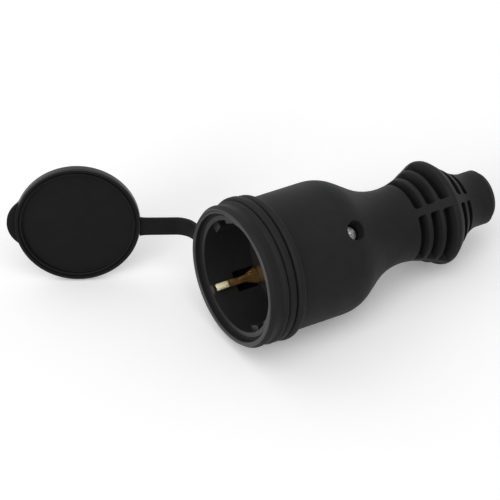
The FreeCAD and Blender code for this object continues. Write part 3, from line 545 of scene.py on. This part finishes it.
def sweep(path, widths, thickness, edge, corner_pieces=3):
    """A band with rounded edges along a path in the X-Y plane, its width along Z."""
    path = np.asarray(path, float)
    tangent = np.gradient(path, axis=0)
    tangent /= np.linalg.norm(tangent, axis=1)[:, None]
    normal = np.column_stack([-tangent[:, 1], tangent[:, 0]])
    points = []
    size = 0
    for place, across, width in zip(path, normal, widths):
        half_t, half_w = thickness / 2, width / 2
        section = rounded([(half_t, half_w, edge), (-half_t, half_w, edge), (-half_t, -half_w, edge),
                           (half_t, -half_w, edge)], closed=True, step=math.radians(90 / corner_pieces))
        size = len(section)
        for t, w in section:
            points.append((place[0] + across[0] * t, place[1] + across[1] * t, w))
    faces = grid_faces(len(path), size)
    faces.append(tuple(range(size)))
    faces.append(tuple((len(path) - 1) * size + k for k in range(size)))
    return points, faces


def evenly(outline, spacing):
    """Points at an even spacing along an outline, and how far along it each one lies."""
    steps = np.linalg.norm(np.diff(outline, axis=0), axis=1)
    run = np.concatenate([[0], np.cumsum(steps)])
    count = max(2, int(run[-1] / spacing))
    marks = np.linspace(0, run[-1], count + 1)
    return np.column_stack([np.interp(marks, run, outline[:, k]) for k in (0, 1)]), marks


def build_strap():
    """The band from the ring, round its bend, to the cap, a little wider at both ends."""
    foot, bend_round, cap_overlap, spacing = 24.3, 7.0, 0.35, 0.45
    foot_flare, foot_run = 1.4, 1.3
    cap_flare, cap_run = 0.7, 1.0
    slack, edge_round = 0.1, 0.4
    blend_from, blend_short = 27.0, 1.5
    offset = HINGE[0] + CAP_LIFT + STRAP_THICKNESS / 2
    bend_run = (HINGE[0] + offset * math.cos(OPEN_BEND) - RING_X) / math.sin(OPEN_BEND)
    bend = np.array([RING_X, HINGE[1] + offset * math.sin(OPEN_BEND) + bend_run * math.cos(OPEN_BEND)])
    run = HINGE[1] - CAP_RADIUS - bend_run
    end = bend + TOWARDS_CAP * (run + cap_overlap)
    outline = rounded([(RING_X, foot, 0), (*bend, bend_round), (*end, 0)], step=math.radians(3))
    path, marks = evenly(outline, spacing)
    to_end = marks[-1] - marks
    widths = STRAP_WIDTH + cap_flare * np.exp(-to_end / cap_run) + foot_flare * np.exp(-marks / foot_run)
    points, faces = sweep(path, widths, STRAP_THICKNESS - slack, edge_round)
    points = [(x, y, z - STRAP_SHIFT) for x, y, z in points]

    def world(p):
        return tuple(TETHERED @ (Vector((*p, 0)) * MM))

    near, far = world((RING_X, blend_from)), world(end - TOWARDS_CAP * blend_short)
    make_piece("cap_strap_band", points, faces, TETHERED, CAP_RUBBER, None, ["cap_strap"],
               blend=("connector", "cap", near, far))


def tab_reach(angle):
    """The plate's outline: a disc, with a pull tab at -Y that flows into it."""
    tab_radius, tab_tip = 9.0, 23.2
    soft = 0.25
    centre = tab_tip - tab_radius
    lean = math.atan2(math.sin(angle), -math.cos(angle))
    off = centre * math.sin(lean)
    if abs(off) >= tab_radius or math.cos(lean) < 0:
        return CAP_RADIUS
    tab = centre * math.cos(lean) + math.sqrt(tab_radius ** 2 - off ** 2)
    return CAP_RADIUS + soft * math.log1p(math.exp((tab - CAP_RADIUS) / soft))


def build_cap():
    """Dish, grooved rim and tab on one polar grid, from the middle inside to the middle outside."""
    rim_inner, rim_depth = 18.2, 1.2
    rim_round, tab_round, tab_side = 0.45, 0.3, 19.0
    groove_inner, groove_outer, groove_floor = 19.0, 19.4, 0.6
    floor_radii = (0.5, 4.0, 8.0, 12.0)
    back_radii = (18.5, 14.0, 9.0, 4.0, 0.5)
    columns = 240
    inside = rounded([
        (0.0, 15.0, 0), (0.0, rim_inner, 0.3), (rim_depth, rim_inner, 0.35), (rim_depth, groove_inner, 0.15),
        (groove_floor, groove_inner, 0), (groove_floor, groove_outer, 0), (rim_depth, groove_outer, 0.15),
        (rim_depth, CAP_RADIUS, rim_round), (0.0, CAP_RADIUS, 0),
    ])
    tab_edge = ((0.0, tab_round), (-0.3 * tab_round, 0.3 * tab_round))
    edge = rounded([(-tab_round, 0.0, 0), (-STRAP_THICKNESS, 0.0, 0.4), (-STRAP_THICKNESS, -1.2, 0)])
    angles = np.linspace(0, 2 * math.pi, columns, endpoint=False)
    reach = [tab_reach(a) for a in angles]
    rows = [[(0.0, r)] * columns for r in floor_radii]
    rows += [[(x, r)] * columns for x, r in inside]
    rows += [[(x, max(CAP_RADIUS, limit - inset)) for limit in reach] for x, inset in tab_edge]
    rows += [[(x, limit + inset) for limit in reach] for x, inset in edge]
    rows += [[(-STRAP_THICKNESS, r)] * columns for r in back_radii]
    points = [(x, r * math.cos(a), r * math.sin(a)) for row in rows for (x, r), a in zip(row, angles)]
    faces = grid_faces(len(rows), columns)
    close_ends(points, faces, columns, ((0, 0.0), (len(rows) - 1, -STRAP_THICKNESS)))
    add_stipple(points, faces)

    def on_rim(p):
        return p.y > -tab_side and abs(math.hypot(p.y, p.z) - CAP_RADIUS) < 0.9 * rim_round

    turn = Matrix.Rotation(math.pi + OPEN_BEND, 4, "Z")
    shift = Matrix.Translation(Vector((*CAP_CENTRE, 0)) * MM)
    make_piece("protective_cap_skin", points, faces, TETHERED @ shift @ turn, CAP_RUBBER, "cap",
               ["protective_cap"], wear_and_painted_light=[(RUBBED_CAP, on_rim)])


def add_stipple(points, faces):
    """Small grip points over both faces of the tab, in staggered rows."""
    pitch, radius, height = 0.72, 0.24, 0.16
    sides = 8
    tab_middle, row_share = -21.6, 0.87
    rim_margin, edge_margin = 0.3, 0.6
    rows, places = range(-12, 13), range(-14, 15)
    dome = ((1.0, -0.1), (0.75, 0.65), (0.35, 0.95))
    for i in rows:
        for k in places:
            y, z = tab_middle + i * pitch * row_share, (k + 0.5 * (i % 2)) * pitch
            angle, reach = math.atan2(z, y), math.hypot(y, z)
            if reach < CAP_RADIUS + rim_margin or reach > tab_reach(angle) - edge_margin:
                continue
            for level, way in ((0.0, 1), (-STRAP_THICKNESS, -1)):
                base = len(points)
                for share, lift in dome:
                    for s in range(sides):
                        a = 2 * math.pi * s / sides
                        points.append((level + way * height * lift, y + radius * share * math.cos(a),
                                       z + radius * share * math.sin(a)))
                for ring in range(2):
                    for s in range(sides):
                        n = (s + 1) % sides
                        faces.append((base + ring * sides + s, base + ring * sides + n,
                                      base + (ring + 1) * sides + n, base + (ring + 1) * sides + s))
                faces.append(tuple(base + 2 * sides + s for s in range(sides)))
                faces.append(tuple(base + s for s in range(sides)))


# Metal pieces

def build_earth_strip():
    """A bent brass strip: web behind the cup, legs up its wall, bowed clips with narrow tips."""
    thickness, wall, edge_round, spacing = 1.0, 18.3, 0.18, 0.35
    web_x, neck_from, neck_to, tip_x = 21.5, 17.6, 14.4, 3.1
    half_web, half_tip = 2.5, 1.15
    glint_to = 7.0
    mid = wall - thickness / 2
    leg = rounded([
        (web_x, 0.0, 0), (web_x, mid, 1.0), (12.1, mid, 3.0), (7.6, mid - 1.7, 1.6), (tip_x, mid - 0.5, 0),
    ], step=math.radians(6))
    path, _ = evenly(leg, spacing)
    half = np.interp(path[:, 0], [tip_x, neck_to, neck_from], [half_tip, half_tip, half_web])
    both = np.concatenate([path[::-1] * [1, -1], path[1:]])
    widths = 2 * np.concatenate([half[::-1], half[1:]])
    points, faces = sweep(both, widths, thickness, edge_round, 2)
    points = [(x, -w, z) for x, z, w in points]

    # The tips take the near-white brass: a painted highlight
    def on_glinting_tip(p):
        return p.x < glint_to

    make_piece("earth_strip_bent", points, faces, CLOCKED, BRASS, "connector", ["earth_strip"],
               wear_and_painted_light=[(PAINTED_GLINT_BRASS, on_glinting_tip)])


def build_body_screw():
    """A pan-head screw with a tapered cross recess, looked at down its hole."""
    head, height, shank, length = 2.75, 1.8, 1.75, 8.6
    arm, half_arm, recess = 1.75, 0.46, 1.3
    arm_taper, side_taper = 0.45, 0.16
    crown_drop, crown_edge = 0.42, 2.35
    driver_turn = math.radians(20)
    columns = 96
    rings = np.concatenate([np.linspace(0.06, 1.9, 26), np.linspace(2.0, crown_edge, 4)])
    angles = np.linspace(0, 2 * math.pi, columns, endpoint=False)

    def crown(r, a):
        level = height - crown_drop * (r / head) ** 2
        u, v = abs(r * math.cos(a)), abs(r * math.sin(a))
        along = min((arm - u) / arm_taper, (half_arm - v) / side_taper)
        across = min((arm - v) / arm_taper, (half_arm - u) / side_taper)
        return level - recess * float(smooth(max(along, across) + 0.5))

    points = [(crown(r, a), r * math.cos(a), r * math.sin(a)) for r in rings for a in angles]
    side = rounded([
        (height - crown_drop * (crown_edge / head) ** 2, crown_edge, 0), (height - 0.45, head, 0.35),
        (0.0, head, 0.12), (0.0, shank, 0), (-length, shank, 0.2), (-length, 0.1, 0),
    ])
    points += [(x, r * math.cos(a), r * math.sin(a)) for x, r in side[1:] for a in angles]
    rows = len(rings) + len(side) - 1
    faces = grid_faces(rows, columns)
    close_ends(points, faces, columns, ((0, crown(0.0, 0.0)), (rows - 1, -length)))
    seat = Matrix.Translation(Vector((SCREW_X, 0, SCREW_SEAT)) * MM) @ Matrix.Rotation(-math.pi / 2, 4, "Y")
    # The head takes the lighter steel: painted light
    make_piece("body_screw_head", points, faces, CLOCKED @ seat @ Matrix.Rotation(driver_turn, 4, "X"),
               LIT_SCREW_STEEL, "connector", ["body_screw"], crease=50)


build_body()
build_ring()
build_strap()
build_cap()
build_earth_strip()
build_body_screw()

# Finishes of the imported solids, which show where no piece above replaces them
FINISHES = {"rubber": RUBBER, "insert_plastic": PLASTIC, "brass": BRASS, "plated_steel": STEEL}
for row in frame["record"]["subparts"]:
    node = frame["nodes"][row["node"]]
    node.data.materials.clear()
    node.data.materials.append(FINISHES[row["material_slot"]])


# Floor, light and camera: the camera's directions are in the tether's frame, and the mouth's place
# and its scale per millimetre are in the picture's pixels
IMAGE_SIDE = 500
FOCAL_PIXELS = 3460.0
MOUTH_SCALE = 3.142
MOUTH_PIXEL = (230.7, 278.2)
CAMERA_RIGHT = Vector((0.834, -0.552, 0.0))
CAMERA_BACK = Vector((-0.480, -0.726, 0.492))
SENSOR_WIDTH = 36.0
FLOOR_Z = -26.08
FLOOR_HALF = 3.0
WHITE = (1, 1, 1, 1)
LIGHTS = (
    ("key_light", 0.7, 50, (-0.2, -0.4, 0.9)),
    ("side_light", 1.1, 30, (-0.9, -0.25, 0.35)),
    ("back_light", 0.4, 60, (-0.2, 0.75, 0.6)),
)


def background_share(tree):
    """1 for rays that show the background: the camera's own, and those in reflections and glass."""
    rays = add_node(tree, "ShaderNodeLightPath")
    first = add_node(tree, "ShaderNodeMath", operation="MAXIMUM")
    second = add_node(tree, "ShaderNodeMath", operation="MAXIMUM")
    tree.links.new(rays.outputs["Is Camera Ray"], first.inputs[0])
    tree.links.new(rays.outputs["Is Glossy Ray"], first.inputs[1])
    tree.links.new(first.outputs[0], second.inputs[0])
    tree.links.new(rays.outputs["Is Transmission Ray"], second.inputs[1])
    return second.outputs[0]


def build_stage():
    """A pale floor, a white surround and three soft lights."""
    mesh = bpy.data.meshes.new("floor")
    corners = [(-1, -1), (1, -1), (1, 1), (-1, 1)]
    mesh.from_pydata([(x * FLOOR_HALF, y * FLOOR_HALF, 0) for x, y in corners], [], [(0, 1, 2, 3)])
    floor = bpy.data.objects.new("floor", mesh)
    floor.location.z = FLOOR_Z * MM
    bpy.context.scene.collection.objects.link(floor)
    material, tree, shader = new_material("pale_floor")
    shown = background_share(tree)
    shade = ramp(tree, shown, [(0.0, (0.42, 0.42, 0.42)), (1.0, (0.94, 0.94, 0.94))])
    tree.links.new(shade, shader.inputs["Base Color"])
    lift = add_node(tree, "ShaderNodeMapRange", {"To Min": 0.0, "To Max": 0.18})
    tree.links.new(shown, lift.inputs["Value"])
    tree.links.new(lift.outputs["Result"], shader.inputs["Emission Strength"])
    shader.inputs["Emission Color"].default_value = WHITE
    shader.inputs["Roughness"].default_value = 0.9
    shader.inputs["Specular IOR Level"].default_value = 0.1
    mesh.materials.append(material)

    world = bpy.data.worlds.new("studio")
    bpy.context.scene.world = world
    world.use_nodes = True
    tree = world.node_tree
    background = tree.nodes["Background"]
    strength = add_node(tree, "ShaderNodeMapRange", {"To Min": 0.5, "To Max": 1.0})
    tree.links.new(background_share(tree), strength.inputs["Value"])
    tree.links.new(strength.outputs["Result"], background.inputs["Strength"])
    background.inputs["Color"].default_value = WHITE

    for name, energy, spread, direction in LIGHTS:
        lamp = bpy.data.lights.new(name, "SUN")
        lamp.energy = energy
        lamp.angle = math.radians(spread)
        light = bpy.data.objects.new(name, lamp)
        light.rotation_mode = "QUATERNION"
        light.rotation_quaternion = Vector(direction).to_track_quat("Z", "Y")
        bpy.context.scene.collection.objects.link(light)


def build_camera():
    """A camera that shows the mouth's centre at its pixel and its scale."""
    turn = TETHERED.to_3x3()
    back = (turn @ CAMERA_BACK).normalized()
    right = turn @ CAMERA_RIGHT
    right = (right - back * right.dot(back)).normalized()
    up = back.cross(right)
    distance = FOCAL_PIXELS / MOUTH_SCALE
    x = (MOUTH_PIXEL[0] - IMAGE_SIDE / 2) / MOUTH_SCALE
    y = (IMAGE_SIDE / 2 - MOUTH_PIXEL[1]) / MOUTH_SCALE
    place = (back * distance - right * x - up * y) * MM
    data = bpy.data.cameras.new("camera")
    data.sensor_fit = "HORIZONTAL"
    data.sensor_width = SENSOR_WIDTH
    data.lens = FOCAL_PIXELS * SENSOR_WIDTH / IMAGE_SIDE
    data.clip_start = 0.05
    data.clip_end = 20.0
    camera = bpy.data.objects.new("camera", data)
    camera.matrix_world = Matrix.Translation(place) @ Matrix((right, up, back)).transposed().to_4x4()
    bpy.context.scene.collection.objects.link(camera)
    bpy.context.scene.camera = camera


build_stage()
build_camera()
bpy.context.scene.view_settings.view_transform = "Standard"
